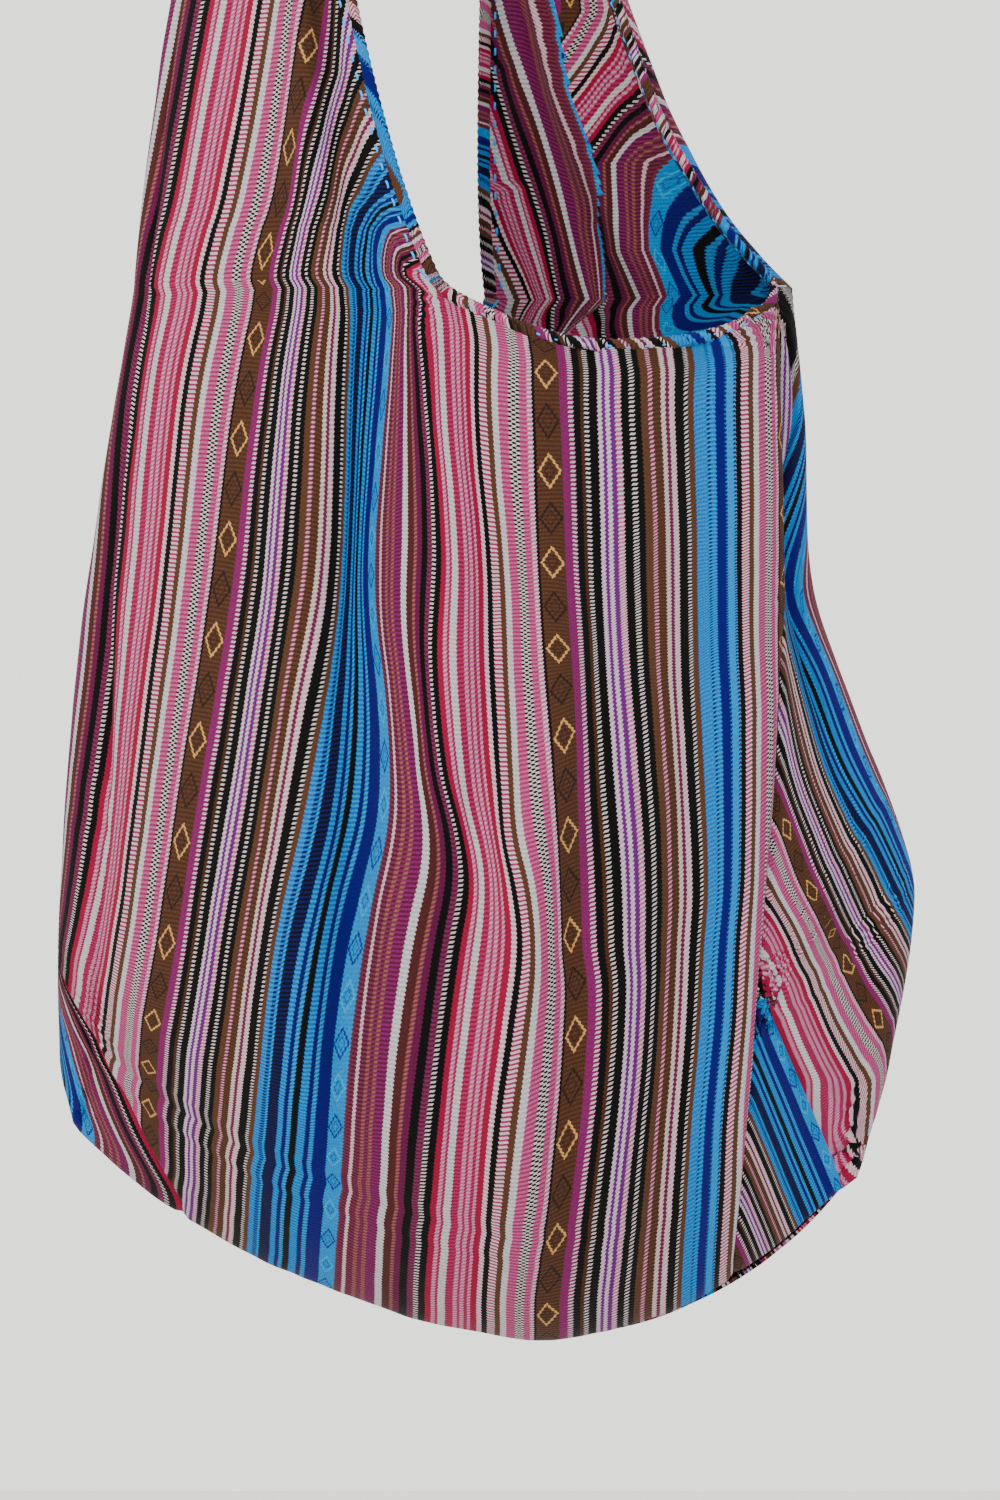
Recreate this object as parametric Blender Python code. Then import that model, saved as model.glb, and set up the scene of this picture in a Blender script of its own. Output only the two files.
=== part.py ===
# Striped woven cotton sling bag, hanging open from its own shoulder strap.
# Two panels of cloth are sewn together down two side seams and along a rounded bottom.
# Each panel runs up into one wide arm, and the two arms are sewn end to end at the crest.
# An arm is a solid of its own, parted from its panel at the mouth, so that collision follows both.
# Frame: metres, +Z up, front towards -Y, origin under the crest of the strap.

import math

import bmesh
import bpy
from mathutils import Vector

MM = 0.001

# Cloth
CLOTH = 2.4              # wall of the panels, a soft two-ply weave with its seams
HEM = 4.2                # wall of the rolled hem round the mouth and the arms
GAP = 0.3                # between the panels along every seam, and under each arm
FOLD_RADIUS = 3.5        # tightest turn of the cloth, at the ends of the bottom seam

# The hanging pouch
WIDTH = 328.0            # across the pouch where it is widest
DEPTH = 110.0            # front to back where it is fullest

# Heights above the lowest point of the bag
MOUTH = 403.0            # where the two arms leave the bag
STRAP_DROP = 319.0       # from the mouth up to the crest
CREST = MOUTH + STRAP_DROP   # underside of the strap where it hangs
MOUTH_DIP = 24.0         # how far the rims sag between the arms
SAG_AT_SEAM = 0.45       # how squarely a rim drops from its side seam, rounder as it nears 1
SAG_AT_ARM = 0.8         # the same where it rises into its own arm
BOTTOM_CORNER = 105.0    # where the bottom seam has come up to at each side
BOTTOM_ROUND = 80.0      # height over which the pouch closes towards the bottom seam
SEAM_FLATNESS = 6        # how flat the panels lie on each other along the bottom seam
BULGE_FULLNESS = 0.7     # how full each panel bulges, flatter across as it nears 0

# Lowest place of the bottom seam, and how square its two sides are
BOTTOM_LOW_X = 0.07 * WIDTH
SQUARE_LEFT = 1.55
SQUARE_RIGHT = 1.9

# Lines of the hanging bag: (share of the mouth's height, share of the width)
LEFT_EDGE = [(0, -0.488), (0.26, -0.500), (0.37, -0.503), (0.51, -0.494), (0.70, -0.473), (0.89, -0.436),
             (1, -0.415)]
RIGHT_EDGE = [(0, 0.421), (0.15, 0.436), (0.27, 0.470), (0.42, 0.497), (0.49, 0.479), (0.61, 0.421),
              (0.72, 0.378), (0.89, 0.366), (1, 0.354)]
SEAM_X = [(0, 0.280), (0.23, 0.299), (0.42, 0.317), (0.56, 0.332), (0.72, 0.338), (1, 0.335)]

# The same for what lies front to back: (share of the mouth's height, share of the depth)
SEAM_Y = [(0, -0.200), (0.23, -0.364), (0.42, -0.400), (0.56, -0.345), (0.72, -0.255), (1, -0.182)]
FRONT_BULGE = [(0, 0.273), (0.26, 0.418), (0.50, 0.509), (0.75, 0.436), (1, 0.345)]
BACK_BULGE = [(0, 0.273), (0.26, 0.400), (0.50, 0.473), (0.75, 0.455), (1, 0.364)]
SIDE_RADIUS = [(0, 0.073), (0.26, 0.127), (0.50, 0.164), (0.75, 0.100), (1, 0.064)]

# Strap
CREST_X = -0.107 * WIDTH
CREST_WIDTH = 78.0       # across the gathered strap where it hangs
CREST_REACH = 58.0       # how far the arch of the strap reaches to each side
GATHER_DEPTH = 3.2       # depth of the gathers at the crest
GATHERS = 3.5            # how many gathers lie across the strap
GATHER_SPREAD = 4.0      # how far the gathers run down the arms

# Where each arm heads as it leaves the mouth: front edge, outer side, back edge,
# each as shares of the width, the depth and the strap's drop
LEFT_ARM_LEAN = [(-0.113, -0.018, 0.241), (0.024, 0.0, 0.304), (0.018, 0.018, 0.257)]
RIGHT_ARM_LEAN = [(-0.287, -0.073, 0.251), (-0.280, 0.018, 0.245), (-0.037, 0.0, 0.241)]

# Columns of the loft, counted round the bag from the front seam
FRONT_STEPS = 26
ARC_STEPS = 6
BACK_STEPS = 26
SIDE_STEPS = 4
ARM_FRONT_COLUMN = 14    # the mouth ends and the left arm begins
BACK_SEAM_STEP = 4       # the back seam lies this far behind the left edge
ARM_BACK_STEP = 14       # the mouth ends and the right arm begins
BODY_ROWS = 24
ARM_ROWS = 22
ROW_EASE = 1.25          # rows lie closer towards the bottom

LEFT_ARC = FRONT_STEPS
BACK_RUN = LEFT_ARC + ARC_STEPS
RIGHT_ARC = BACK_RUN + BACK_STEPS
SIDE_RUN = RIGHT_ARC + ARC_STEPS
COLUMNS = SIDE_RUN + SIDE_STEPS
BACK_SEAM = BACK_RUN + BACK_SEAM_STEP
ARM_BACK_COLUMN = BACK_RUN + ARM_BACK_STEP

# Hanging folds: (place at the mouth, place at the bottom, width, depth, sway). Places, widths and sway are
# shares of the run, and depths are shares of the pouch's depth: positive is a valley, negative a ridge.
FRONT_FOLDS = [
    (0.640, 0.600, 0.045, 0.118, 0.00),
    (0.720, 0.700, 0.060, -0.045, 0.00),
    (0.520, 0.360, 0.045, 0.073, 0.05),
    (0.440, 0.270, 0.055, -0.045, 0.04),
    (0.300, 0.250, 0.040, 0.045, 0.01),
    (0.130, 0.120, 0.045, 0.041, 0.00),
]
BACK_FOLDS = [
    (0.160, 0.220, 0.050, 0.082, 0.03),
    (0.330, 0.360, 0.050, -0.045, 0.02),
    (0.470, 0.450, 0.045, 0.073, -0.03),
    (0.660, 0.600, 0.050, 0.064, 0.02),
    (0.840, 0.800, 0.045, 0.073, 0.00),
]
# How deep the folds are at the bottom seam, and how fast they deepen above it
FOLD_AT_BOTTOM = 0.12
FOLD_RISE = 0.62

# The deep crease inside the right arm, and a softer one in the left: (place across, width, depth)
LEFT_ARM_CREASE = (0.30, 0.10, 0.064)
RIGHT_ARM_CREASE = (0.62, 0.09, 0.109)
CREASE_FADE = 1.15       # the creases are gone this much before the crest

SHARP_EDGE = 50.0        # degrees past which an edge is shaded as a sharp one
PINK = (0.45, 0.16, 0.25)
BLUE = (0.05, 0.18, 0.42)


def along(keys, height):
    """A line's share at a height, on a smooth curve through its keys."""
    height = height / MOUTH
    if height <= keys[0][0]:
        return keys[0][1]
    for index in range(len(keys) - 1):
        low, high = keys[index], keys[index + 1]
        if height <= high[0]:
            before = keys[max(index - 1, 0)]
            after = keys[min(index + 2, len(keys) - 1)]
            span = high[0] - low[0]
            share = (height - low[0]) / span
            slope_low = (high[1] - before[1]) / (high[0] - before[0]) * span
            slope_high = (after[1] - low[1]) / (after[0] - low[0]) * span
            square, cube = share ** 2, share ** 3
            return ((2 * cube - 3 * square + 1) * low[1] + (cube - 2 * square + share) * slope_low
                    + (3 * square - 2 * cube) * high[1] + (cube - square) * slope_high)
    return keys[-1][1]


def mix(first, second, share):
    return first + (second - first) * share


def bump(distance, width):
    """1 at the middle of a fold, fading to nothing on both sides."""
    return math.exp(-(distance / width) ** 2)


def folds(fold_list, place, level):
    """Depth of all folds at a place across a run and a level from bottom 0 to mouth 1."""
    depth = 0.0
    for at_mouth, at_bottom, width, deep, sway in fold_list:
        middle = mix(at_bottom, at_mouth, level) + sway * math.sin(2.0 * math.pi * level)
        depth += deep * bump(place - middle, width)
    return depth * math.sin(math.pi * min(1.0, FOLD_AT_BOTTOM + FOLD_RISE * level))


def bottom_height(x):
    """Height of the rounded bottom seam under a place across the bag."""
    if x < BOTTOM_LOW_X:
        end, square = WIDTH * along(LEFT_EDGE, BOTTOM_CORNER / 2), SQUARE_LEFT
    else:
        end, square = WIDTH * along(RIGHT_EDGE, BOTTOM_CORNER / 2), SQUARE_RIGHT
    share = min((x - BOTTOM_LOW_X) / (end - BOTTOM_LOW_X), 1.0)
    return BOTTOM_CORNER * (1.0 - (1.0 - share ** square) ** (1.0 / square))


def rim_sag(share):
    """How far a rim hangs below the mouth at a share of the way from its side seam to its own arm."""
    return MOUTH_DIP * math.sin(math.pi * share) ** (SAG_AT_SEAM if share < 0.5 else SAG_AT_ARM)


def mouth_height(column):
    """Height of the top edge of the body over a column."""
    if column < ARM_FRONT_COLUMN:
        return MOUTH - rim_sag(column / ARM_FRONT_COLUMN)
    if BACK_SEAM < column < ARM_BACK_COLUMN:
        return MOUTH - rim_sag((column - BACK_SEAM) / (ARM_BACK_COLUMN - BACK_SEAM))
    return MOUTH


def section_point(column, height, level, closing):
    """Middle of the cloth at a column. closing is 0 at the bottom seam and 1 in the open pouch."""
    flat = CLOTH / 2 + GAP / 2
    radius = mix(FOLD_RADIUS, DEPTH * along(SIDE_RADIUS, height), closing)
    left, right = WIDTH * along(LEFT_EDGE, height), WIDTH * along(RIGHT_EDGE, height)
    seam_x, seam_y = WIDTH * along(SEAM_X, height), DEPTH * along(SEAM_Y, height)
    if column <= LEFT_ARC:
        share = column / FRONT_STEPS
        x = mix(seam_x, left + radius, share)
        bulge = along(FRONT_BULGE, height) * math.sin(math.pi * share) ** BULGE_FULLNESS
        bulge -= folds(FRONT_FOLDS, share, level)
        full = mix(seam_y, -radius, share) - DEPTH * bulge
        closed = -mix(flat, FOLD_RADIUS, share ** SEAM_FLATNESS)
    elif column < BACK_RUN:
        turn = math.radians(270.0 - 180.0 * (column - LEFT_ARC) / ARC_STEPS)
        return left + radius + radius * math.cos(turn), radius * math.sin(turn)
    elif column <= RIGHT_ARC:
        share = (column - BACK_RUN) / BACK_STEPS
        x = mix(left + radius, right - radius, share)
        bulge = along(BACK_BULGE, height) * math.sin(math.pi * share) ** BULGE_FULLNESS
        bulge -= folds(BACK_FOLDS, share, level)
        full = radius + DEPTH * bulge
        closed = mix(flat, FOLD_RADIUS, abs(2.0 * share - 1.0) ** SEAM_FLATNESS)
    elif column < SIDE_RUN:
        turn = math.radians(90.0 - 180.0 * (column - RIGHT_ARC) / ARC_STEPS)
        return right - radius + radius * math.cos(turn), radius * math.sin(turn)
    else:
        share = (column - SIDE_RUN) / SIDE_STEPS
        x = mix(right - radius, seam_x, share)
        full = mix(-radius, seam_y, share)
        closed = -mix(FOLD_RADIUS, flat, share)
    return x, mix(closed, full, closing)


def body_point(column, row):
    """Middle of the cloth of the pouch at a column and a row from the bottom seam up."""
    across = section_point(column, BOTTOM_CORNER / 2, 0.0, 1.0)[0]
    low, high = bottom_height(across), mouth_height(column)
    level = (row / BODY_ROWS) ** ROW_EASE
    height = mix(low, high, level)
    rise = min((height - low) / BOTTOM_ROUND, 1.0)
    closing = math.sqrt(1.0 - (1.0 - rise) ** 2)
    x, y = section_point(column, height, level, closing)
    return Vector((x, y, height))


def lean_at(leans, share):
    """Heading of an arm's thread at a share of the way from its front to its back edge."""
    first, second = (leans[0], leans[1]) if share < 0.5 else (leans[1], leans[2])
    blend = 2.0 * share if share < 0.5 else 2.0 * share - 1.0
    sizes = (WIDTH, DEPTH, STRAP_DROP)
    return Vector(size * mix(a, b, blend) for size, a, b in zip(sizes, first, second))


def arm_point(base, leans, crease, side, share, row):
    """Middle of the cloth of an arm, on a curve from the mouth to the crest of the strap."""
    y = mix(-CREST_WIDTH / 2, CREST_WIDTH / 2, share)
    gather = GATHER_DEPTH * math.cos(2.0 * math.pi * GATHERS * share)
    crest = Vector((CREST_X, y, CREST + CLOTH / 2 + GATHER_DEPTH + gather))
    heading = base + lean_at(leans, share)
    arrival = crest + Vector((side * CREST_REACH, 0, 0))
    t = row / ARM_ROWS
    point = (base * (1 - t) ** 3 + heading * (3 * t * (1 - t) ** 2)
             + arrival * (3 * t ** 2 * (1 - t)) + crest * t ** 3)
    place, width, depth = crease
    inward = DEPTH * depth * bump(share - place, width) * math.sin(math.pi * min(1.0, CREASE_FADE * t))
    gathers = gather * t ** 2 * (1 - t) * GATHER_SPREAD
    point.x -= side * (inward - gathers)
    return point


def whole_bag():
    """Middle surface of all the cloth: its points, and the point numbers of each panel's grids."""
    points = []

    def grid(columns, rows, place):
        numbers = []
        for row in rows:
            numbers.append([])
            for column in columns:
                points.append(place(column, row))
                numbers[-1].append(len(points) - 1)
        return numbers

    body = grid(range(COLUMNS), range(BODY_ROWS + 1), body_point)
    steps = BACK_SEAM - ARM_FRONT_COLUMN
    top = body[BODY_ROWS]
    left_base = [top[column] for column in range(ARM_FRONT_COLUMN, BACK_SEAM + 1)]
    right_base = [top[column % COLUMNS] for column in range(COLUMNS, ARM_BACK_COLUMN - 1, -1)]

    def arm(base, leans, crease, side, last_row):
        rows = [base]
        for row in range(1, last_row + 1):
            rows.append([])
            for step, number in enumerate(base):
                points.append(arm_point(points[number], leans, crease, side, step / steps, row))
                rows[-1].append(len(points) - 1)
        return rows

    left = arm(left_base, LEFT_ARM_LEAN, LEFT_ARM_CREASE, -1.0, ARM_ROWS)
    right = arm(right_base, RIGHT_ARM_LEAN, RIGHT_ARM_CREASE, 1.0, ARM_ROWS - 1)
    right.append(left[ARM_ROWS])
    return points, body, left, right


def squares(numbers):
    """Faces between the rows of a grid of point numbers."""
    faces = []
    for lower, upper in zip(numbers, numbers[1:]):
        for step in range(len(lower) - 1):
            faces.append((lower[step], lower[step + 1], upper[step + 1], upper[step]))
    return faces


def outward_normals(points, faces):
    """Outward direction at each point, averaged over the faces that meet there."""
    normals = [Vector((0, 0, 0)) for _ in points]
    for a, b, c, d in faces:
        turn = (points[c] - points[a]).cross(points[d] - points[b])
        for number in (a, b, c, d):
            normals[number] += turn
    return [normal.normalized() for normal in normals]


def cloth_panel(name, points, normals, faces, hem, colour):
    """One panel or arm as a closed solid: the middle surface thickened, with GAP left along its borders."""
    sides = {}
    for face in faces:
        for start, end in zip(face, face[1:] + face[:1]):
            sides[(start, end)] = face
    border = [edge for edge in sides if (edge[1], edge[0]) not in sides]
    inset = {}
    for start, end in border:
        middle = sum((points[number] for number in sides[(start, end)]), Vector()) / 4
        line = (points[end] - points[start]).normalized()
        inward = middle - points[start]
        inward -= line * inward.dot(line)
        for number in (start, end):
            inset[number] = inset.get(number, Vector()) + inward.normalized()
    mesh = bmesh.new()
    outer, inner = {}, {}
    for number in sorted({number for face in faces for number in face}):
        half = (HEM if number in hem else CLOTH) / 2
        place = points[number] - Vector((CREST_X, 0, CREST))
        if number in inset:
            place = place + inset[number].normalized() * (GAP / 2)
        outer[number] = mesh.verts.new((place + normals[number] * half) * MM)
        inner[number] = mesh.verts.new((place - normals[number] * half) * MM)
    for face in faces:
        mesh.faces.new([outer[number] for number in face])
        mesh.faces.new([inner[number] for number in reversed(face)])
    for start, end in border:
        rim = [outer[end], outer[start], inner[start], inner[end]]
        if start > end:
            rim = rim[1:] + rim[:1]
        mesh.faces.new(rim[:3])
        mesh.faces.new([rim[2], rim[3], rim[0]])
    bmesh.ops.recalc_face_normals(mesh, faces=mesh.faces)
    data = bpy.data.meshes.new(name)
    mesh.to_mesh(data)
    mesh.free()
    data.shade_smooth()
    data.set_sharp_from_angle(angle=math.radians(SHARP_EDGE))
    data.materials.append(cloth_material(name + "_cloth", colour))
    panel = bpy.data.objects.new(name, data)
    collection.objects.link(panel)
    return panel


def cloth_material(name, colour):
    """Matt woven cotton in one colour."""
    material = bpy.data.materials.new(name)
    material.use_nodes = True
    shader = material.node_tree.nodes["Principled BSDF"]
    shader.inputs["Base Color"].default_value = (*colour, 1.0)
    shader.inputs["Roughness"].default_value = 0.9
    shader.inputs["Metallic"].default_value = 0.0
    return material


for old in list(bpy.data.objects):
    bpy.data.objects.remove(old)
collection = bpy.data.collections.new("striped_sling_bag")
bpy.context.scene.collection.children.link(collection)

points, body, left, right = whole_bag()
right = [list(reversed(row)) for row in right]
closed_body = [row + row[:1] for row in body]
front_body = [row[:BACK_SEAM + 1] for row in closed_body]
back_body = [row[BACK_SEAM:] for row in closed_body]
front_faces, left_faces = squares(front_body), squares(left)
back_faces, right_faces = squares(back_body), squares(right)
normals = outward_normals(points, front_faces + left_faces + back_faces + right_faces)

front_hem = set(body[BODY_ROWS][:ARM_FRONT_COLUMN + 1])
front_hem |= {row[0] for row in left} | {row[-1] for row in left}
back_hem = set(body[BODY_ROWS][BACK_SEAM:ARM_BACK_COLUMN + 1])
back_hem |= {row[0] for row in right} | {row[-1] for row in right}

cloth_panel("front_panel", points, normals, front_faces, front_hem, PINK)
cloth_panel("left_arm", points, normals, left_faces, front_hem, PINK)
cloth_panel("back_panel", points, normals, back_faces, back_hem, BLUE)
cloth_panel("right_arm", points, normals, right_faces, back_hem, BLUE)
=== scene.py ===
# %% [markdown]
# A soft cotton sling bag hangs open from its own shoulder strap. It is sewn from two cuts of striped cloth,
# and each cut runs up into one wide arm of the strap. The CAD model gives the hanging shape in stiff cloth
# 2.4 mm thick. This scene puts the real, thinner cloth in its place, with stripes, rolled hems and thread.

# %% Load the CAD frame
import math

import bpy
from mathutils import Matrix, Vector, noise


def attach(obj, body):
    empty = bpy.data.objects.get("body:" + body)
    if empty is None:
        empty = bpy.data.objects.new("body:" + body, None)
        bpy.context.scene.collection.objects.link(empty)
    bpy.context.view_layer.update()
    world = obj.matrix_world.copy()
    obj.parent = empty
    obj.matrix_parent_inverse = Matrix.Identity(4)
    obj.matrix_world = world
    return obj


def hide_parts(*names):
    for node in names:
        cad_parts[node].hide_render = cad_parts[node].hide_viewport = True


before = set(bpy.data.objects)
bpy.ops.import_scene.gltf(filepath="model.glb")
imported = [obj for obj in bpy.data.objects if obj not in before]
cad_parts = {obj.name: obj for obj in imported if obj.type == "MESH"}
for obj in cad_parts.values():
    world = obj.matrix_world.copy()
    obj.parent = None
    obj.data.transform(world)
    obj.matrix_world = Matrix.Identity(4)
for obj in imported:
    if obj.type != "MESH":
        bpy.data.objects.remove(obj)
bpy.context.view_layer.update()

MM = 0.001

# %% [markdown]
# The camera comes first, because the stripes are laid along lines that were seen through it. It looks level
# at the bag from 1.8 m in front. A long lens covers 570 mm of height there, so a pixel is 0.38 mm of cloth.

# %% Camera
PHOTO_WIDTH = 1000.0
PHOTO_HEIGHT = 1500.0
VIEW_HEIGHT = 570.0                      # mm of height in view at the bag
VIEW_DISTANCE = 1800.0                   # mm from the lens to the middle of the bag
EYE = Vector((39.3, -1820.0, -496.0))    # the lens, in mm in the row frame
SENSOR = 36.0
FOCUS = PHOTO_HEIGHT * VIEW_DISTANCE / VIEW_HEIGHT   # focal length in pixels

bpy.ops.object.select_all(action="DESELECT")
bpy.ops.object.camera_add(location=EYE * MM, rotation=(math.radians(90), 0, 0))
camera = bpy.context.object
camera.data.sensor_fit = "VERTICAL"
camera.data.sensor_height = SENSOR
camera.data.lens = SENSOR * VIEW_DISTANCE / VIEW_HEIGHT
camera.data.clip_end = 20.0
bpy.context.scene.camera = camera


def seen_at(point):
    """Where a point in mm is seen, in pixels from the view's upper left corner."""
    away = point.y - EYE.y
    across = PHOTO_WIDTH / 2 + FOCUS * (point.x - EYE.x) / away
    down = PHOTO_HEIGHT / 2 - FOCUS * (point.z - EYE.z) / away
    return across, down


print("lens", round(camera.data.lens, 1), "mm")

# %% [markdown]
# Finishes are node trees, and two small helpers keep them short. Colours are written as the hex values that a
# screen shows. Blender works in linear light, so one function turns them round.

# %% Colour and node helpers
def linear(colour_hex, deeper=1.0):
    """Linear RGBA from an sRGB hex value. deeper above 1 gives the darker colour of dyed cotton."""
    shares = [int(colour_hex[place:place + 2], 16) / 255 for place in (0, 2, 4)]
    shares = [share / 12.92 if share <= 0.04045 else ((share + 0.055) / 1.055) ** 2.4 for share in shares]
    return [share ** deeper for share in shares] + [1.0]


def add_node(tree, kind, settings=None, links=None):
    """Add a node, set its properties and sockets, and link sockets by name or number."""
    node = tree.nodes.new(kind)
    for name, value in (settings or {}).items():
        if isinstance(name, str) and hasattr(node, name):
            setattr(node, name, value)
        else:
            node.inputs[name].default_value = value
    for name, source in (links or {}).items():
        tree.links.new(source, node.inputs[name])
    return node


def new_material(name):
    """An empty material with its output node."""
    material = bpy.data.materials.new(name)
    material.use_nodes = True
    material.node_tree.nodes.clear()
    output = add_node(material.node_tree, "ShaderNodeOutputMaterial")
    return material, material.node_tree, output


# %% [markdown]
# The bag hangs free in a pale room, so that it can be seen from behind too: the pale surroundings are the
# world's own colour, and only a floor lies far below the view. Its matt paint is slightly uneven, which a
# faint noise in colour gives.

# %% Floor
FLOOR_SIZE = 6.0         # m
FLOOR_BELOW = 1.25       # m below the crest of the strap


def floor_paint():
    """Matt floor paint, a little warmer in some places than in others."""
    material, tree, output = new_material("floor_paint")
    place = add_node(tree, "ShaderNodeTexCoord")
    patches = add_node(tree, "ShaderNodeTexNoise", {"Scale": 1.6, "Detail": 2.0},
                       {"Vector": place.outputs["Object"]})
    ramp = add_node(tree, "ShaderNodeValToRGB", None, {"Fac": patches.outputs["Fac"]})
    ramp.color_ramp.elements[0].color = linear("E6E4E1")
    ramp.color_ramp.elements[1].color = linear("F0ECE6")
    shader = add_node(tree, "ShaderNodeBsdfPrincipled", {"Roughness": 0.9},
                      {"Base Color": ramp.outputs["Color"]})
    tree.links.new(shader.outputs["BSDF"], output.inputs["Surface"])
    return material


bpy.ops.mesh.primitive_plane_add(size=FLOOR_SIZE, location=(0, 0, -FLOOR_BELOW))
floor = bpy.context.object
floor.name = "floor"
floor.data.materials.append(floor_paint())

# %% [markdown]
# Soft daylight comes from the upper left, as from a window beside the bag, with a weaker light from the right
# so that the folds keep their colour in the shade.

# %% Lights
def soft_light(name, place, aim, size, watts, colour_hex):
    """A square area light that points from its place to a spot, both in metres."""
    turn = (Vector(aim) - Vector(place)).to_track_quat("-Z", "Y").to_euler()
    bpy.ops.object.light_add(type="AREA", location=place, rotation=turn)
    light = bpy.context.object
    light.name = name
    light.data.size = size
    light.data.energy = watts
    light.data.color = linear(colour_hex)[:3]


soft_light("window", (-1.3, -1.6, 0.9), (0.0, 0.0, -0.4), 1.2, 70.0, "FFF4E8")
soft_light("room", (1.5, -1.8, 0.1), (0.0, 0.0, -0.45), 1.6, 22.0, "EEF5FF")
soft_light("front", (0.1, -2.6, -0.2), (0.0, 0.0, -0.45), 1.8, 14.0, "FFFCF8")

world = bpy.data.worlds.new("room_light")
world.use_nodes = True
world.node_tree.nodes["Background"].inputs["Color"].default_value = linear("F3F2EF")
world.node_tree.nodes["Background"].inputs["Strength"].default_value = 2.1
bpy.context.scene.world = world

# %% [markdown]
# The cloth must hang where the CAD cloth hangs, so the same lines and folds are used again here. Lines are
# shares of the bag's width or depth at a share of the mouth's height. A smooth curve runs through each one.

# %% Lines of the hanging bag
CLOTH = 2.4
GAP = 0.3
FOLD_RADIUS = 3.5
WIDTH = 328.0
DEPTH = 110.0
MOUTH = 403.0
STRAP_DROP = 319.0
CREST = MOUTH + STRAP_DROP
MOUTH_DIP = 24.0
SAG_AT_SEAM = 0.45
SAG_AT_ARM = 0.8
BOTTOM_CORNER = 105.0
BOTTOM_ROUND = 80.0
SEAM_FLATNESS = 6
BULGE_FULLNESS = 0.7
BOTTOM_LOW_X = 0.07 * WIDTH
SQUARE_LEFT = 1.55
SQUARE_RIGHT = 1.9
LEFT_EDGE = [(0, -0.488), (0.26, -0.500), (0.37, -0.503), (0.51, -0.494), (0.70, -0.473), (0.89, -0.436),
             (1, -0.415)]
RIGHT_EDGE = [(0, 0.421), (0.15, 0.436), (0.27, 0.470), (0.42, 0.497), (0.49, 0.479), (0.61, 0.421),
              (0.72, 0.378), (0.89, 0.366), (1, 0.354)]
SEAM_X = [(0, 0.280), (0.23, 0.299), (0.42, 0.317), (0.56, 0.332), (0.72, 0.338), (1, 0.335)]
SEAM_Y = [(0, -0.200), (0.23, -0.364), (0.42, -0.400), (0.56, -0.345), (0.72, -0.255), (1, -0.182)]
FRONT_BULGE = [(0, 0.273), (0.26, 0.418), (0.50, 0.509), (0.75, 0.436), (1, 0.345)]
BACK_BULGE = [(0, 0.273), (0.26, 0.400), (0.50, 0.473), (0.75, 0.455), (1, 0.364)]
SIDE_RADIUS = [(0, 0.073), (0.26, 0.127), (0.50, 0.164), (0.75, 0.100), (1, 0.064)]
CREST_X = -0.107 * WIDTH
CREST_WIDTH = 78.0
CREST_REACH = 58.0
GATHER_DEPTH = 3.2
GATHERS = 3.5
GATHER_SPREAD = 4.0
LEFT_ARM_LEAN = [(-0.113, -0.018, 0.241), (0.024, 0.0, 0.304), (0.018, 0.018, 0.257)]
RIGHT_ARM_LEAN = [(-0.287, -0.073, 0.251), (-0.280, 0.018, 0.245), (-0.037, 0.0, 0.241)]


def smooth_curve(keys, at):
    """Height of a smooth curve through keys of (place, value), level beyond both ends."""
    if at <= keys[0][0]:
        return keys[0][1]
    for index in range(len(keys) - 1):
        low, high = keys[index], keys[index + 1]
        if at <= high[0]:
            before = keys[max(index - 1, 0)]
            after = keys[min(index + 2, len(keys) - 1)]
            span = high[0] - low[0]
            share = (at - low[0]) / span
            slope_low = (high[1] - before[1]) / (high[0] - before[0]) * span
            slope_high = (after[1] - low[1]) / (after[0] - low[0]) * span
            square, cube = share ** 2, share ** 3
            return ((2 * cube - 3 * square + 1) * low[1] + (cube - 2 * square + share) * slope_low
                    + (3 * square - 2 * cube) * high[1] + (cube - square) * slope_high)
    return keys[-1][1]


def along(keys, height):
    return smooth_curve(keys, height / MOUTH)


def mix(first, second, share):
    return first + (second - first) * share


def bump(distance, width):
    """1 at the middle of a fold, fading to nothing on both sides."""
    return math.exp(-(distance / width) ** 2)


def ease(value):
    """0 below 0, 1 above 1, and a smooth step between."""
    share = min(max(value, 0.0), 1.0)
    return share * share * (3.0 - 2.0 * share)


# %% [markdown]
# Places round the bag are counted in columns, starting at the seam on the front's right and going left across
# the front, round the left side, along the back and round the right side. The folds are soft valleys and
# ridges in the front and back.

# %% Columns and folds
FRONT_STEPS = 26
ARC_STEPS = 6
BACK_STEPS = 26
SIDE_STEPS = 4
ARM_FRONT_COLUMN = 14
ARM_STEPS = 22
LEFT_ARC = FRONT_STEPS
BACK_RUN = LEFT_ARC + ARC_STEPS
RIGHT_ARC = BACK_RUN + BACK_STEPS
SIDE_RUN = RIGHT_ARC + ARC_STEPS
COLUMNS = SIDE_RUN + SIDE_STEPS
BACK_SEAM = BACK_RUN + 4
ARM_BACK_COLUMN = BACK_RUN + 14
FRONT_FOLDS = [
    (0.640, 0.600, 0.045, 0.118, 0.00),
    (0.720, 0.700, 0.060, -0.045, 0.00),
    (0.520, 0.360, 0.045, 0.073, 0.05),
    (0.440, 0.270, 0.055, -0.045, 0.04),
    (0.300, 0.250, 0.040, 0.045, 0.01),
    (0.130, 0.120, 0.045, 0.041, 0.00),
]
BACK_FOLDS = [
    (0.160, 0.220, 0.050, 0.082, 0.03),
    (0.330, 0.360, 0.050, -0.045, 0.02),
    (0.470, 0.450, 0.045, 0.073, -0.03),
    (0.660, 0.600, 0.050, 0.064, 0.02),
    (0.840, 0.800, 0.045, 0.073, 0.00),
]
FOLD_AT_BOTTOM = 0.12
FOLD_RISE = 0.62
LEFT_ARM_CREASE = (0.30, 0.10, 0.064)
RIGHT_ARM_CREASE = (0.62, 0.09, 0.109)
CREASE_FADE = 1.15


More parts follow.
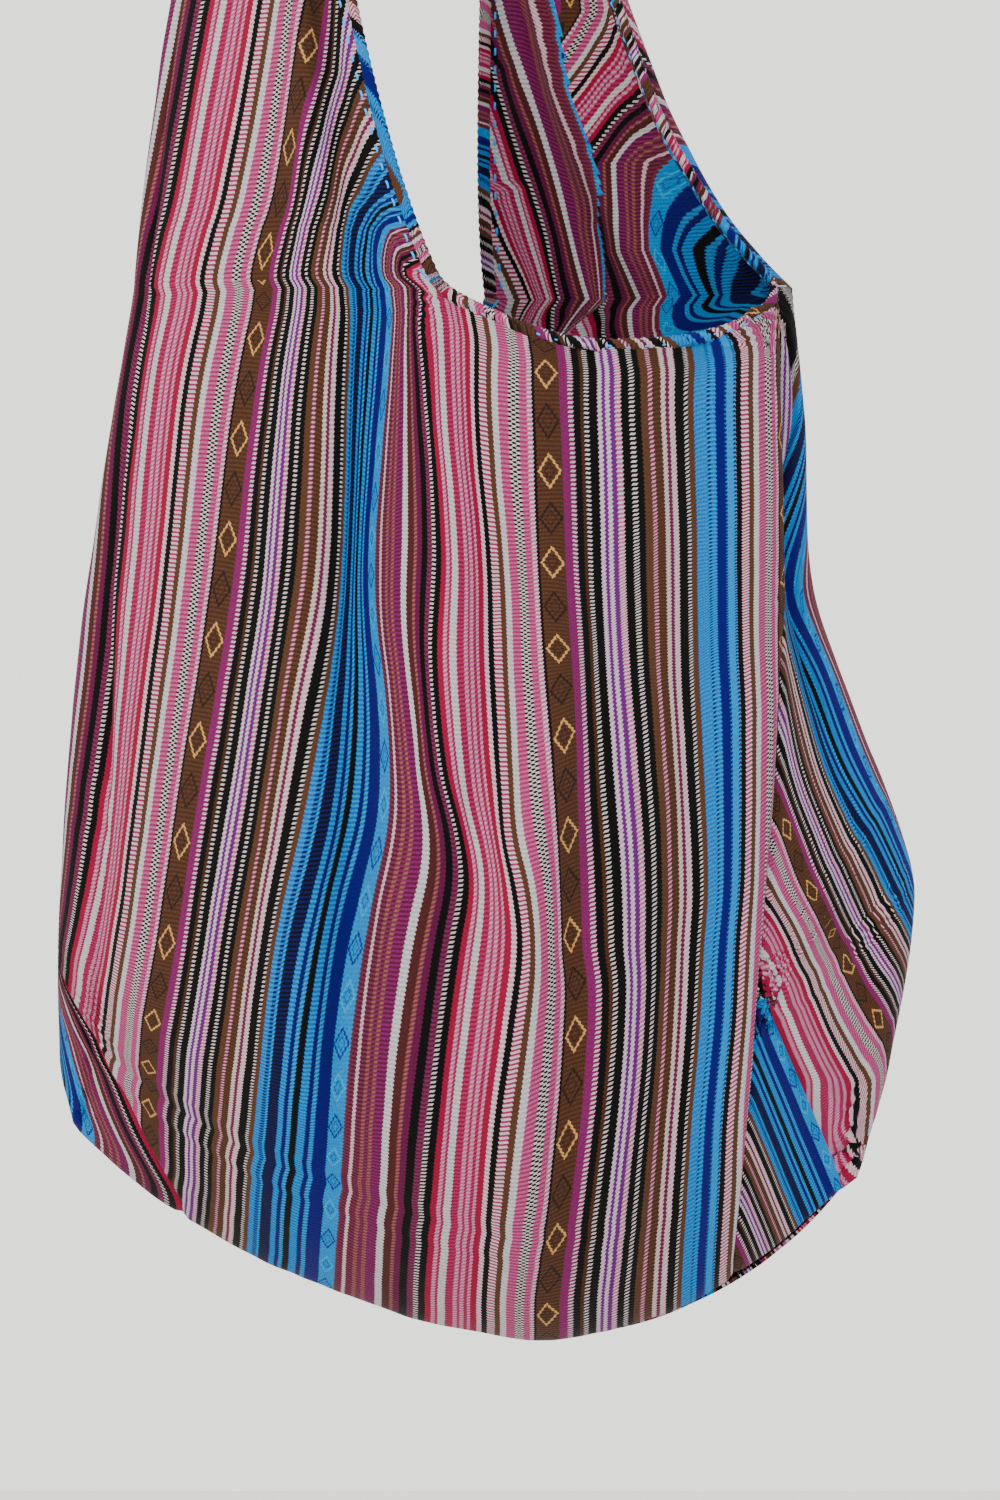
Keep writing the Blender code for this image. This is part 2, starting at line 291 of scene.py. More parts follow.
def folds(fold_list, place, level):
    """Depth of all folds at a place across a run and a level from bottom 0 to mouth 1."""
    depth = 0.0
    for at_mouth, at_bottom, width, deep, sway in fold_list:
        middle = mix(at_bottom, at_mouth, level) + sway * math.sin(2.0 * math.pi * level)
        depth += deep * bump(place - middle, width)
    return depth * math.sin(math.pi * min(1.0, FOLD_AT_BOTTOM + FOLD_RISE * level))


def bottom_height(x):
    """Height of the rounded bottom seam under a place across the bag."""
    if x < BOTTOM_LOW_X:
        end, square = WIDTH * along(LEFT_EDGE, BOTTOM_CORNER / 2), SQUARE_LEFT
    else:
        end, square = WIDTH * along(RIGHT_EDGE, BOTTOM_CORNER / 2), SQUARE_RIGHT
    share = min((x - BOTTOM_LOW_X) / (end - BOTTOM_LOW_X), 1.0)
    return BOTTOM_CORNER * (1.0 - (1.0 - share ** square) ** (1.0 / square))


def rim_sag(share):
    """How far a rim hangs below the mouth at a share of the way from its side seam to its own arm."""
    return MOUTH_DIP * math.sin(math.pi * share) ** (SAG_AT_SEAM if share < 0.5 else SAG_AT_ARM)


def mouth_height(column):
    """Height of the top edge of the pouch over a column."""
    if column < ARM_FRONT_COLUMN:
        return MOUTH - rim_sag(column / ARM_FRONT_COLUMN)
    if BACK_SEAM < column < ARM_BACK_COLUMN:
        return MOUTH - rim_sag((column - BACK_SEAM) / (ARM_BACK_COLUMN - BACK_SEAM))
    return MOUTH


# %% [markdown]
# The pouch is lofted: a level cut through the bag is a closed loop of front, left turn, back, right turn and
# a short slanted side, and this loop closes flat towards the bottom seam. An arm is a fan of smooth curves
# from the mouth to the crest. Modelling it as one loft keeps the stripes running on through both.

# %% Places on the middle of the cloth
def section_point(column, height, level, closing):
    """Place across and in depth at a column. closing is 0 at the bottom seam and 1 in the open pouch."""
    flat = CLOTH / 2 + GAP / 2
    radius = mix(FOLD_RADIUS, DEPTH * along(SIDE_RADIUS, height), closing)
    left, right = WIDTH * along(LEFT_EDGE, height), WIDTH * along(RIGHT_EDGE, height)
    seam_x, seam_y = WIDTH * along(SEAM_X, height), DEPTH * along(SEAM_Y, height)
    if column <= LEFT_ARC:
        share = column / FRONT_STEPS
        x = mix(seam_x, left + radius, share)
        bulge = along(FRONT_BULGE, height) * math.sin(math.pi * share) ** BULGE_FULLNESS
        bulge -= folds(FRONT_FOLDS, share, level)
        full = mix(seam_y, -radius, share) - DEPTH * bulge
        closed = -mix(flat, FOLD_RADIUS, share ** SEAM_FLATNESS)
    elif column < BACK_RUN:
        turn = math.radians(270.0 - 180.0 * (column - LEFT_ARC) / ARC_STEPS)
        return left + radius + radius * math.cos(turn), radius * math.sin(turn)
    elif column <= RIGHT_ARC:
        share = (column - BACK_RUN) / BACK_STEPS
        x = mix(left + radius, right - radius, share)
        bulge = along(BACK_BULGE, height) * abs(math.sin(math.pi * share)) ** BULGE_FULLNESS
        bulge -= folds(BACK_FOLDS, share, level)
        full = radius + DEPTH * bulge
        closed = mix(flat, FOLD_RADIUS, abs(2.0 * share - 1.0) ** SEAM_FLATNESS)
    elif column < SIDE_RUN:
        turn = math.radians(90.0 - 180.0 * (column - RIGHT_ARC) / ARC_STEPS)
        return right - radius + radius * math.cos(turn), radius * math.sin(turn)
    else:
        share = (column - SIDE_RUN) / SIDE_STEPS
        x = mix(right - radius, seam_x, share)
        full = mix(-radius, seam_y, share)
        closed = -mix(FOLD_RADIUS, flat, share)
    return x, mix(closed, full, closing)


ROW_EASE = 1.25


def pouch_point(column, share_up):
    """Middle of the cloth at a column and a share of the rows from the bottom seam to the mouth."""
    across = section_point(column, BOTTOM_CORNER / 2, 0.0, 1.0)[0]
    low, high = bottom_height(across), mouth_height(column)
    level = share_up ** ROW_EASE
    height = mix(low, high, level)
    rise = min((height - low) / BOTTOM_ROUND, 1.0)
    closing = math.sqrt(1.0 - (1.0 - rise) ** 2)
    x, y = section_point(column, height, level, closing)
    return Vector((x - CREST_X, y, height - CREST))


def lean_at(leans, share):
    """Heading of an arm's thread at a share of the way from its front to its back edge."""
    first, second = (leans[0], leans[1]) if share < 0.5 else (leans[1], leans[2])
    blend = 2.0 * share if share < 0.5 else 2.0 * share - 1.0
    sizes = (WIDTH, DEPTH, STRAP_DROP)
    return Vector(size * mix(a, b, blend) for size, a, b in zip(sizes, first, second))


def arm_point(base, leans, crease, side, share, t):
    """Middle of the cloth of an arm, on a curve from the mouth at t 0 to the crest of the strap at t 1."""
    y = mix(-CREST_WIDTH / 2, CREST_WIDTH / 2, share)
    gather = GATHER_DEPTH * math.cos(2.0 * math.pi * GATHERS * share)
    crest = Vector((0.0, y, CLOTH / 2 + GATHER_DEPTH + gather))
    heading = base + lean_at(leans, share)
    arrival = crest + Vector((side * CREST_REACH, 0, 0))
    point = (base * (1 - t) ** 3 + heading * (3 * t * (1 - t) ** 2)
             + arrival * (3 * t ** 2 * (1 - t)) + crest * t ** 3)
    place, width, depth = crease
    inward = DEPTH * depth * bump(share - place, width) * math.sin(math.pi * min(1.0, CREASE_FADE * t))
    gathers = gather * t ** 2 * (1 - t) * GATHER_SPREAD
    point.x -= side * (inward - gathers)
    return point


# %% [markdown]
# The warp stripes don't follow the loft: they sway and bunch up in the folds. So each stripe line that can be
# seen well is written down as a few places in the view. The cloth between two lines gets its thread numbers
# by the distance over the surface. A thread number then stays on the cloth wherever the cloth goes.

# %% Stripe lines in view
THREAD = 0.38            # mm from one warp thread to the next
# Thread number: places of (down, across) in pixels of the view
FRONT_LINES = {
    707: [(345, 716), (506, 719), (632, 720), (745, 724), (887, 724), (948, 719), (1032, 714), (1117, 706),
          (1201, 702), (1300, 696)],
    675: [(345, 674), (506, 681), (632, 682), (745, 687), (887, 695), (948, 692), (1032, 688), (1117, 681),
          (1201, 675), (1300, 668)],
    570: [(345, 541), (436, 547), (576, 552), (717, 562), (836, 567), (948, 569), (990, 575), (1089, 571),
          (1173, 562), (1300, 546)],
    500: [(345, 476), (464, 479), (548, 487), (660, 491), (773, 498), (836, 503), (887, 514), (948, 520),
          (1032, 510), (1117, 498), (1201, 491), (1300, 484)],
    434: [(280, 408), (320, 418), (380, 426), (548, 438), (660, 434), (773, 444), (836, 460), (887, 466),
          (948, 456), (1032, 444), (1117, 434), (1201, 427), (1290, 421)],
    337: [(180, 372), (250, 395), (300, 392), (380, 386), (464, 377), (576, 371), (688, 382), (745, 386),
          (817, 383), (892, 367), (948, 355), (1047, 340), (1200, 330), (1290, 324)],
    250: [(130, 348), (200, 350), (300, 350), (400, 347), (500, 345), (600, 340), (700, 325), (820, 303),
          (950, 275), (1100, 258), (1250, 247)],
    132: [(-200, 336), (0, 315), (250, 275), (400, 245), (600, 220), (800, 188), (950, 167), (1050, 150),
          (1130, 152), (1200, 160)],
}

# The same on the inside of the right arm
ARM_LINES = {
    250: [(243, 727), (276, 719), (338, 712)],
    329: [(147, 667), (195, 664), (230, 660), (276, 661), (338, 655)],
    346: [(138, 651), (195, 649), (230, 646), (276, 646), (338, 643)],
    390: [(62, 617), (129, 616), (184, 620), (227, 628), (287, 626), (338, 630)],
}
# The arm's crease as seen, and the stripe lines to the left of it, where a fold starts with other stripes
CREASE_LINE = [(-200, 510), (0, 556), (92, 572), (172, 599), (230, 602), (338, 609)]
CREASE_THREAD = 344
BEHIND_LINES = {
    390: [(-100, 480), (0, 500), (60, 518), (165, 553), (277, 582), (334, 601)],
    425: [(76, 498), (149, 521), (230, 547), (287, 558), (338, 572)],
    500: [(200, 487), (241, 503), (276, 521), (326, 542)],
}
# Thread number where each arm's front hem cuts the stripes off: (down, thread)
LEFT_HEM = [(-200, 165), (0, 178), (140, 250), (250, 337), (280, 434)]
RIGHT_HEM = [(-200, 440), (0, 420), (37, 402), (62, 390), (76, 377), (112, 355), (133, 342), (158, 322),
             (198, 285), (241, 250), (270, 225), (292, 205), (330, 199)]

# %% [markdown]
# On the back cut, which shows at the bag's right side and inside its mouth, the threads run down to the
# right. There the thread number grows with the distance from the front seam and with the height. Below a fold
# the cloth starts again with other stripes, because a tuck hides a hand's breadth of it.

# %% Thread numbers on both cuts
SEAM_THREADS = [(330, 199), (480, 236), (590, 243), (672, 191), (769, 148), (836, 104), (897, 64), (930, 33),
                (985, -5), (1080, -60)]
LEFT_SEAM_THREAD = 1550  # at the left seam, where a corner of the back cut shows
TUCK_TOP = (761, 985)
TUCK_END = (845, 1190)
TUCK_BACK = 59.5         # column behind the right turn where the tuck ends
TUCK_FRONT = 67.4        # column beside the seam where it starts
TUCK_EASE = 90.0         # pixels above its top over which the grid is drawn onto it
TUCK_THREAD = -92
TUCK_TIGHT = 1.7         # threads for each pixel below the tuck, where the cloth turns under
SLANT = 0.84             # how much of a thread number a step across gives, where the threads run at a slant
SLIDE = 0.54             # and how much of a mm down the thread
SLANT_ENDS = (95.0, 140.0)   # mm from the seam where the slant begins to fade, and over which it fades


def distances(row):
    """Distance along a row at each of its points."""
    reach = [0.0]
    for before, after in zip(row, row[1:]):
        reach.append(reach[-1] + (after - before).length)
    return reach


def threads_along(row, lines):
    """Distances along a row, and the stripe lines that it crosses on its way to the left in view."""
    reach = distances(row)
    seen = [seen_at(point) for point in row]
    left = min(range(len(row)), key=lambda place: seen[place][0])
    right = max(range(left + 1), key=lambda place: seen[place][0])
    known = []
    for number, places in lines.items():
        for place in range(right, left):
            here = seen[place][0] - smooth_curve(places, seen[place][1])
            then = seen[place + 1][0] - smooth_curve(places, seen[place + 1][1])
            inside = places[0][0] - 15 <= seen[place][1] <= places[-1][0] + 60
            if inside and here >= 0 > then:
                known.append((mix(reach[place], reach[place + 1], here / (here - then)), number))
                break
    return reach, sorted(known)


def spread_threads(reach, known, rising):
    """Thread numbers at all distances: even between known ones, and one per THREAD beyond them."""
    numbers = []
    for distance in reach:
        if distance <= known[0][0]:
            numbers.append(known[0][1] + rising * (distance - known[0][0]) / THREAD)
        elif distance >= known[-1][0]:
            numbers.append(known[-1][1] + rising * (distance - known[-1][0]) / THREAD)
        else:
            for first, second in zip(known, known[1:]):
                if distance <= second[0]:
                    numbers.append(mix(first[1], second[1], (distance - first[0]) / (second[0] - first[0])))
                    break
    return numbers


def above_tuck(across, down):
    """Pixels above the fold line at the lower right, negative below it."""
    run = TUCK_END[0] - TUCK_TOP[0]
    fall = TUCK_END[1] - TUCK_TOP[1]
    length = math.hypot(run, fall)
    return ((across - TUCK_TOP[0]) * fall - (down - TUCK_TOP[1]) * run) / length


def side_threads(point, distance):
    """Thread number on the back cut at a distance in mm from the front seam, and mm that it slides up."""
    turned = ease((distance - SLANT_ENDS[0]) / SLANT_ENDS[1])
    down = seen_at(point)[1]
    slanted = smooth_curve(SEAM_THREADS, down) + SLANT * distance / THREAD
    straight = 199 + distance / THREAD
    slide = -SLIDE * min(distance, SLANT_ENDS[0]) * (1.0 - turned) * ease((down - 400.0) / 250.0)
    return mix(slanted, straight, turned), slide


# %% [markdown]
# Each cut is a grid, added with an operator at its count of squares and then laid on the loft point by point.
# The pouch and the arm are two grids that share a row, and they are joined and merged there. Solidify then
# gives the cloth its wall. This keeps quads and an even weave direction, where a cloth simulation would move
# the stripes away from where they hang.

# %% Cloth grids
FINE = 5                 # columns of the grid for each column of the loft
POUCH_ROWS = 120
ARM_ROWS = 90
WALL = 1.3               # mm, real thickness of the cloth
PUCKER = 0.55            # mm, height of the puckers of the weave


def pucker(place, point):
    """Small uneven waves in the cloth, longer along the threads than across them."""
    wide = noise.noise(Vector((point.x / 26.0, point.y / 26.0, point.z / 70.0 + place)))
    fine = noise.noise(Vector((point.x / 9.0, point.y / 9.0, point.z / 24.0 + 7.0 * place)))
    return PUCKER * (1.5 * wide + 0.6 * fine)


def lay_grid(name, rows, threads, slides=None, hidden=None):
    """A grid of points in mm as a mesh in metres, with thread number and mm up the thread as its UV map.

    slides gives mm to add up the thread. hidden gives other thread numbers, or None, at each point: a square
    with more than two such corners takes them.
    """
    across, up = len(rows[0]) - 1, len(rows) - 1
    bpy.ops.object.select_all(action="DESELECT")
    bpy.ops.mesh.primitive_grid_add(x_subdivisions=across, y_subdivisions=up, size=2)
    piece = bpy.context.object
    piece.name = name
    places = []
    for vertex in piece.data.vertices:
        column = round((vertex.co.x + 1.0) / 2.0 * across)
        row = round((vertex.co.y + 1.0) / 2.0 * up)
        places.append((column, row))
    lengths = [0.0] * (across + 1)
    climbed = [list(lengths)]
    for row in range(1, up + 1):
        for column in range(across + 1):
            lengths[column] += (rows[row][column] - rows[row - 1][column]).length
        climbed.append(list(lengths))
    for vertex, (column, row) in zip(piece.data.vertices, places):
        vertex.co = rows[row][column] * MM
    layer = piece.data.uv_layers.active
    layer.name = "threads"
    for square in piece.data.polygons:
        corners = [places[vertex] for vertex in square.vertices]
        below = hidden and sum(hidden[row][column] is not None for column, row in corners) > 2
        for loop, (column, row) in zip(square.loop_indices, corners):
            number = threads[row][column]
            if below:
                others = [hidden[at][over] for over, at in corners if hidden[at][over] is not None]
                number = max(others) if hidden[row][column] is None else hidden[row][column]
            layer.data[loop].uv = (number, climbed[row][column] + (slides[row][column] if slides else 0.0))
    return piece, climbed


print("squares from mouth to bottom", POUCH_ROWS, "and up an arm", ARM_ROWS)

# %% [markdown]
# The front cut holds the pouch's front, its left side and the left arm. At the lower left the seam comes
# round to the front, so a corner of the back cut shows there. The seam's column is a smooth curve of height.

# %% Lay both cuts
SEAM_COLUMN = [(0, 21.8), (0.017, 22.1), (0.036, 22.9), (0.051, 23.5), (0.063, 23.9), (0.084, 24.6),
               (0.094, 25.2), (0.114, 26.0), (0.125, 27.2), (0.147, 29.0), (0.19, 32.0), (0.27, 35.0),
               (0.40, 36.0)]
# Columns that the front cut reaches round the right turn
FRONT_REACH = [(0.58, 0.0), (0.66, 0.4), (0.75, 3.0), (0.83, 4.9), (0.91, 5.3), (0.96, 4.2), (1, 0.0)]
SEAM_DIP = 1.3           # mm that the cloth turns in at a seam
SEAM_TURN = 3.0          # mm over which it does
TUCK_STEP = 3.0          # mm that the upper cloth stands over the lower at the tuck
BLUR = 1                 # rows to each side over which thread numbers are evened out
ARM_BLUR = 6


def seam_column(share_up):
    return smooth_curve(SEAM_COLUMN, share_up ** ROW_EASE)


def front_start(share_up):
    return -smooth_curve(FRONT_REACH, share_up ** ROW_EASE)


def back_end(share_up):
    return COLUMNS + front_start(share_up)


def outward_at(rows, row, column):
    """Outward direction of a grid of points whose columns run to the left seen from outside."""
    up = rows[min(row + 1, len(rows) - 1)][column] - rows[max(row - 1, 0)][column]
    left = rows[row][min(column + 1, len(rows[0]) - 1)] - rows[row][max(column - 1, 0)]
    return up.cross(left).normalized()


def evened(numbers, blur):
    """Thread numbers averaged with those of the rows above and below."""
    result = []
    for row in range(len(numbers)):
        near = numbers[max(row - blur, 0):row + blur + 1]
        result.append([sum(column) / len(near) for column in zip(*near)])
    return result


def pouch_rows(first_column, last_column, count):
    """Points of part of the pouch, from the bottom seam up. Both columns are functions of the share up."""
    rows = []
    for row in range(POUCH_ROWS + 1):
        share_up = row / POUCH_ROWS
        first, last = first_column(share_up), last_column(share_up)
        columns = [mix(first, last, step / count) % COLUMNS for step in range(count + 1)]
        rows.append([pouch_point(column, share_up) for column in columns])
    return rows


def arm_rows(base, leans, crease, side, turned):
    """Points of an arm over its base row. turned says that the base runs from the back edge to the front."""
    rows = [list(base)]
    for row in range(1, ARM_ROWS + 1):
        rows.append([])
        for step, point in enumerate(base):
            share = step / (len(base) - 1)
            share = 1.0 - share if turned else share
            rows[-1].append(arm_point(point, leans, crease, side, share, row / ARM_ROWS))
    return rows


def tuck_column(share_up):
    """Column where the tuck line crosses a height on the bag's right side."""
    low, high = TUCK_BACK, TUCK_FRONT
    for _ in range(12):
        middle = (low + high) / 2
        if above_tuck(*seen_at(pouch_point(middle, share_up))) > 0:
            low = middle
        else:
            high = middle
    return (low + high) / 2


def laid_on_tuck(rows):
    """Slide the points of the side along their rows, so that one column of the grid follows the tuck line."""
    first_row = None
    for row in range(POUCH_ROWS + 1):
        share_up = row / POUCH_ROWS
        first, last = seam_column(share_up), back_end(share_up)
        down = seen_at(pouch_point(TUCK_FRONT, share_up))[1]
        held = ease((down - TUCK_TOP[1]) / TUCK_EASE + 1.0)
        natural = mix(first, last, TUCK_STEPS / BACK_COUNT)
        crease = mix(natural, tuck_column(share_up), held)
        if down > TUCK_TOP[1]:
            first_row = row
        if held > 0:
            for step in range(BACK_COUNT + 1):
                if step < TUCK_STEPS:
                    column = mix(first, crease, step / TUCK_STEPS)
                else:
                    column = mix(crease, last, (step - TUCK_STEPS) / (BACK_COUNT - TUCK_STEPS))
                rows[row][step] = pouch_point(column % COLUMNS, share_up)
    return first_row


FRONT_COUNT = BACK_SEAM * FINE
BACK_COUNT = (COLUMNS - BACK_SEAM) * FINE
ARM_COUNT = ARM_STEPS * FINE
front_pouch = pouch_rows(front_start, seam_column, FRONT_COUNT)
back_pouch = pouch_rows(seam_column, back_end, BACK_COUNT)
TUCK_STEPS = BACK_COUNT - 4 * FINE       # the grid's column that lies on the tuck line
tuck_top_row = laid_on_tuck(back_pouch)
left_base = front_pouch[-1][ARM_FRONT_COLUMN * FINE:]
right_base = back_pouch[-1][-ARM_COUNT - 1:]
left_arm = arm_rows(left_base, LEFT_ARM_LEAN, LEFT_ARM_CREASE, -1.0, False)
right_arm = arm_rows(right_base, RIGHT_ARM_LEAN, RIGHT_ARM_CREASE, 1.0, True)

front_threads = []
for row in front_pouch:
    reach, known = threads_along(row, FRONT_LINES)
    front_threads.append(spread_threads(reach, known, -1.0))
front_threads = evened(front_threads, BLUR)

left_threads = [front_threads[-1][ARM_FRONT_COLUMN * FINE:]]
pace, last_share = 1.0 / THREAD, 0.5
for row in left_arm[1:]:
    reach, known = threads_along(row, FRONT_LINES)
    if len(known) > 1:
        pace = (known[-2][1] - known[-1][1]) / (known[-1][0] - known[-2][0])
    if known:
        last_share = known[-1][0] / reach[-1]
    else:
        known = [(last_share * reach[-1], 132)]
    if len(known) == 1:
        known.insert(0, (known[0][0] - (250 - known[0][1]) / pace, 250))
    start = smooth_curve(LEFT_HEM, seen_at(row[0])[1])
    known = [(0.0, start)] + [place for place in known if place[0] > 2.0 and place[1] < start - 4]
    left_threads.append(spread_threads(reach, known, -1.0))
left_threads = left_threads[:1] + evened(left_threads, ARM_BLUR)[1:]

# %% [markdown]
# Two grids share a row at the mouth, and no stripe may jump there. On the front cut the arm starts with the
# pouch's numbers, and its own take over within a few rows. On the back cut the pouch's numbers lead into the
# arm's on their way up, because the inside of that arm is in plain view and the pouch's back isn't.

# %% Threads of the back cut and of the arms
HANDOVER = 10            # rows over which an arm's own thread numbers take over
LEAD_FROM = 0.45         # share of the pouch's rows from which its numbers lead into the arm's


def handed_over(numbers):
    """Arm thread numbers that start from the pouch's own row."""
    first_own = numbers[1]
    result = [numbers[0]]
    for row in range(1, len(numbers)):
        left_over = 1.0 - ease(row / HANDOVER)
        result.append([own + left_over * (base - start)
                       for own, base, start in zip(numbers[row], numbers[0], first_own)])
    return result


left_threads = handed_over(left_threads)

back_threads, back_slides, tucked = [], [], []
for row in back_pouch:
    reach = distances(row[::-1])[::-1]
    numbers = [side_threads(point, distance) for point, distance in zip(row, reach)]
    to_seam = LEFT_SEAM_THREAD - numbers[0][0]
    back_threads.append([number + to_seam * distance / reach[0]
                         for (number, _), distance in zip(numbers, reach)])
    back_slides.append([slide for _, slide in numbers])
    tucked.append([])
    for step, point in enumerate(row):
        above = above_tuck(*seen_at(point))
        below = step >= TUCK_STEPS and len(tucked) - 1 <= tuck_top_row
        tucked[-1].append(TUCK_THREAD + TUCK_TIGHT * above if below else None)
back_threads = evened(back_threads, BLUR)

right_threads, folded_under = [], []
for row in right_arm:
    from_hem = row[::-1]
    seen = [seen_at(point) for point in from_hem]
    reach, known = threads_along(from_hem, ARM_LINES)
    start = smooth_curve(RIGHT_HEM, seen[0][1])
    known = [(0.0, start)] + [place for place in known if place[1] > start + 4]
    numbers = spread_threads(reach, known, 1.0)
    right_threads.append(numbers[::-1])
    creased = [across < smooth_curve(CREASE_LINE, down) for across, down in seen]
    right = max(range(len(seen)), key=lambda place: seen[place][0])
    fold = next((place for place in range(right, len(seen)) if creased[place]), len(seen))
    _, behind = threads_along(from_hem, BEHIND_LINES)
    if fold < len(seen):
        behind = [(reach[fold], CREASE_THREAD)] + [place for place in behind if place[0] > reach[fold] + 1]
        numbers = spread_threads(reach, behind, 1.0)
    folded_under.append([number if place >= fold else None for place, number in enumerate(numbers)][::-1])

right_threads = evened(right_threads, ARM_BLUR)

# The pouch's thread numbers lead into those of the arm over the upper part of the back
arm_begins = BACK_COUNT - ARM_COUNT
arm_start = [other if number is None else number
             for number, other in zip(folded_under[0], right_threads[0])]
steps = [own - pouch for own, pouch in zip(arm_start, back_threads[-1][arm_begins:])]
steps = [steps[0] * column / arm_begins for column in range(arm_begins)] + steps
for row, numbers in enumerate(back_threads):
    lead = ease((row / POUCH_ROWS - LEAD_FROM) / (1.0 - LEAD_FROM))
    back_threads[row] = [number + lead * step for number, step in zip(numbers, steps)]
print("thread numbers", round(front_threads[60][0]), "to", round(front_threads[60][-1]), "on the front,",
      round(back_threads[60][-1]), "to", round(back_threads[60][0]), "on the back")

# %% [markdown]
# The puckers, the turned-in seams and the tuck are small moves along the loft's outward direction.

# %% Fine shape of the cloth
def finely_shaped(rows, place, sewn):
    """The same points with puckers, and turned in at the seams on both sides and below where they are sewn."""
    shaped = []
    for row in range(len(rows)):
        shaped.append([])
        for column, point in enumerate(rows[row]):
            move = pucker(place, point)
            for seam in (rows[row][0], rows[row][-1], rows[0][column]) if sewn else ():
                move -= SEAM_DIP * (1.0 - ease((point - seam).length / SEAM_TURN))
            shaped[-1].append(point + outward_at(rows, row, column) * move)
    return shaped


def tuck_step(rows):
    """Lift the cloth above the tuck line at the lower right over the cloth below it."""
    for row in range(len(rows)):
        for column, point in enumerate(rows[row]):
            across, down = seen_at(point)
            if column < (RIGHT_ARC + 3 - BACK_SEAM) * FINE or down < TUCK_TOP[1] - 60:
                continue
            above = above_tuck(across, down)
            upper = ease((above + 4) / 8)
            lift = TUCK_STEP * upper * (1.0 - ease(above / 70)) - (1.0 - upper)
            fade = ease((down - TUCK_TOP[1] + 60) / 60)
            rows[row][column] = point + outward_at(rows, row, column) * lift * fade


tuck_step(back_pouch)
front_shape = finely_shaped(front_pouch, 1.0, True)
back_shape = finely_shaped(back_pouch, 5.0, True)
left_shape = finely_shaped(left_arm, 1.0, False)
right_shape = finely_shaped(right_arm, 5.0, False)
left_shape[0] = front_shape[-1][ARM_FRONT_COLUMN * FINE:]
right_shape[0] = back_shape[-1][-ARM_COUNT - 1:]


def cut_of_cloth(name, pouch, pouch_threads, arm, arm_threads, arm_at, slides=None, hidden=None,
                 arm_hidden=None):
    """Pouch and arm grids joined to one piece of cloth."""
    body, climbed = lay_grid(name, pouch, pouch_threads, slides, hidden)
    strap, _ = lay_grid(name + "_arm", arm, arm_threads, None, arm_hidden)
    top = climbed[-1][arm_at:arm_at + len(arm[0])]
    layer = strap.data.uv_layers.active
    for loop in layer.data:
        loop.uv.y += sum(top) / len(top)
    bpy.ops.object.select_all(action="DESELECT")
    strap.select_set(True)
    body.select_set(True)
    bpy.context.view_layer.objects.active = body
    bpy.ops.object.join()
    bpy.ops.object.mode_set(mode="EDIT")
    bpy.ops.mesh.select_all(action="SELECT")
    bpy.ops.mesh.remove_doubles(threshold=0.00002)
    bpy.ops.mesh.flip_normals()
    bpy.ops.object.mode_set(mode="OBJECT")
    return body


front_cloth = cut_of_cloth("front_cloth", front_shape, front_threads, left_shape, left_threads,
                           ARM_FRONT_COLUMN * FINE)
back_cloth = cut_of_cloth("back_cloth", back_shape, back_threads, right_shape, right_threads,
                          BACK_COUNT - ARM_COUNT, back_slides, tucked, folded_under)
print("front cloth", len(front_cloth.data.polygons), "squares, back cloth", len(back_cloth.data.polygons))

# %% [markdown]
# The mouth and the arms' edges are turned over and sewn into a firm round hem. The weave's stripes wrap round
# it, and it swells a little between the stitches like a rope. A blue running stitch goes in and out below it.

# %% Hems and running stitches
HEM_ACROSS = 5.2         # mm, in the plane of the cloth
HEM_THICK = 3.6
HEM_SET = 1.8            # mm from the cloth's edge to the middle of the hem
HEM_STEP = 1.0           # mm from ring to ring
HEM_RING = 10            # sides of a ring
HEM_TURN = 24            # warp threads once round the hem
HEM_TWIST = 0.8          # how fast the threads wrap where the hem runs along them
HEM_GIRTH = 14.0         # mm round the hem
THREAD_RING = 6          # sides of the thread
EVEN_STEPS = 3           # steps to each side that are averaged
INTO_CLOTH = 14          # points of the grid from the edge into the cloth
ROPE_PITCH = 3.2
ROPE_SWELL = 0.09
STITCH_IN = 6.2          # mm from the edge
STITCH_PITCH = 7.0
STITCH_SWING = 1.15      # mm that the thread swings out of the middle of the cloth
STITCH_RADIUS = 0.45


def walked(path, distance):
    """Point at a distance along a path of points."""
    for before, after in zip(path, path[1:]):
        step = (after - before).length
        if distance <= step:
            return before.lerp(after, distance / step)
        distance -= step
    return path[-1]


def edge_places(rows, threads, spots, way, twist):
    """Edge point, stitch point, outward direction, thread number and twist at spots (row, column) of an edge.

    way is the step in rows and columns that leads into the cloth.
    """
    places = []
    for row, column in spots:
        path = [rows[row + way[0] * step][column + way[1] * step] for step in range(INTO_CLOTH)]
        out = outward_at(rows, row, column)
        places.append((path[0], walked(path, STITCH_IN), out, threads[row][column], twist))
    return places


def evenly(places):
    """The same values every HEM_STEP along the edge, averaged with their neighbours."""
    steps, left_over = [], 0.0
    for first, second in zip(places, places[1:]):
        length = (second[0] - first[0]).length
        while left_over < length:
            steps.append([mix(a, b, left_over / length) for a, b in zip(first, second)])
            left_over += HEM_STEP
        left_over -= length
    smooth = []
    for place in range(len(steps)):
        near = steps[max(place - EVEN_STEPS, 0):place + EVEN_STEPS + 1]
        smooth.append([sum(values[1:], values[0]) / len(near) for values in zip(*near)])
    return smooth


